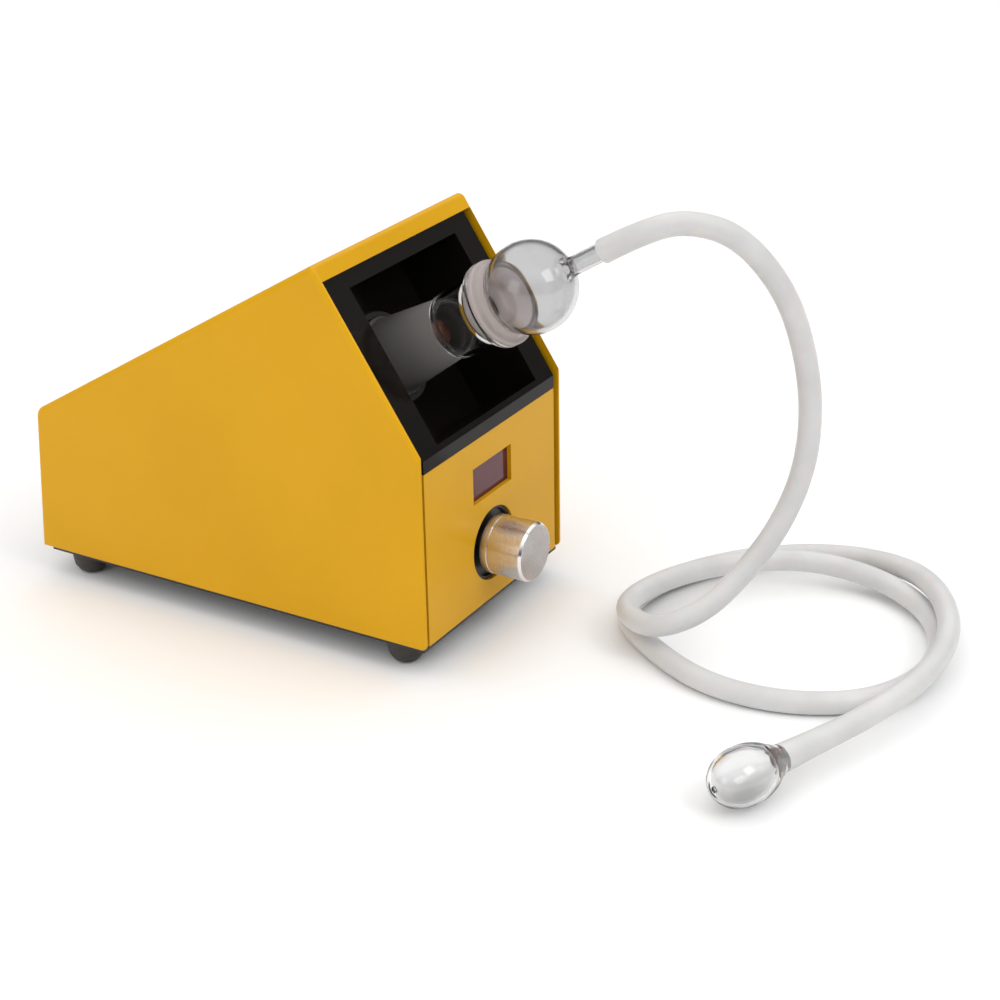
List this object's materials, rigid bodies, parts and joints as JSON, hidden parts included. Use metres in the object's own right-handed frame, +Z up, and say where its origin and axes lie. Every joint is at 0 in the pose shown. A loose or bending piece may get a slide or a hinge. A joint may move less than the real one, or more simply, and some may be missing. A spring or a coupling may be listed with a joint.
{
  "type": "desktop hot-air vaporizer",
  "caption": "Wedge-shaped desktop hot-air vaporizer: yellow metal case, tilted ground-glass heater joint, glass bowl and bulb, turned knob, and a silicone hose with a glass mouthpiece.",
  "frame": {"origin": "on the resting plane, under the middle of the box that bounds the rigid object (case, knob and glass, without the hose and mouthpiece)", "axes": "+Z up, -Y to the front where the knob and display are, +X to the right of a viewer who faces the front"},
  "size_m": [0.2144, 0.399, 0.1954],
  "materials": {
    "yellow_paint": "satin powder coat",
    "black_sheet": "matte powder coat",
    "black_acrylic": "polished black",
    "frosted_glass": "ground",
    "clear_glass": "polished",
    "clamp_black": "matte",
    "ceramic_white": "fired ceramic",
    "heater_copper": "heat-stained copper",
    "screw_steel": "zinc plated",
    "silicone": "translucent",
    "knob_metal": "polished turned",
    "shaft_metal": "satin",
    "dish_black": "matte",
    "pot_case": "satin",
    "display_filter": "tinted",
    "display_black": "matte",
    "board_green": "solder mask",
    "post_nylon": "matte",
    "sink_metal": "black anodised",
    "device_black": "matte",
    "iron_core": "lacquered laminations",
    "coil_tape": "tape wrap",
    "inlet_black": "matte",
    "pin_brass": "nickelled brass",
    "foot_rubber": "matte"
  },
  "bodies": {
    "box": {"base_plate": "black_sheet", "board_posts": "post_nylon", "board_screws": "screw_steel", "ceramic_heater": "ceramic_white", "control_board": "board_green", "cover": "yellow_paint", "display_board": "board_green", "display_module": "display_black", "display_window": "display_filter", "foot_front_left": "foot_rubber", "foot_front_right": "foot_rubber", "foot_rear_left": "foot_rubber", "foot_rear_right": "foot_rubber", "foot_screws": "screw_steel", "front_panel": "yellow_paint", "heat_sink": "sink_metal", "heater_cap": "heater_copper", "heater_joint": "frosted_glass", "heater_socket": "ceramic_white", "heater_switch": "device_black", "heater_tray": "black_acrylic", "inlet_pins": "pin_brass", "inlet_screws": "screw_steel", "joint_clamp": "clamp_black", "knob_dish": "dish_black", "pot_body": "pot_case", "pot_nut": "screw_steel", "pot_washer": "screw_steel", "power_inlet": "inlet_black", "rear_panel": "yellow_paint", "rear_screws": "screw_steel", "socket_screws": "screw_steel", "transformer_coil": "coil_tape", "transformer_core": "iron_core"},
    "knob_turn": {"knob": "knob_metal", "knob_shaft": "shaft_metal", "knob_set_screw": "screw_steel"},
    "bowl_glass": {"bowl": "clear_glass"},
    "whip": {"whip_bulb": "clear_glass", "hose": "silicone", "mouthpiece": "clear_glass"}
  },
  "joints": [
    {"name": "knob_turn", "type": "hinge", "parent": "box", "child": "knob_turn", "pos_m": [0, -0.09, 0.0388], "axis": [0, -1, 0], "range_deg": [-150, 150]},
    {"name": "bowl_lift", "type": "slide", "parent": "box", "child": "bowl_glass", "axis": [0, -0.8508, 0.5255], "range_m": [0, 0.03]},
    {"name": "whip_lift", "type": "slide", "parent": "bowl_glass", "child": "whip", "axis": [0, -0.8508, 0.5255], "range_m": [0, 0.03]}
  ]
}
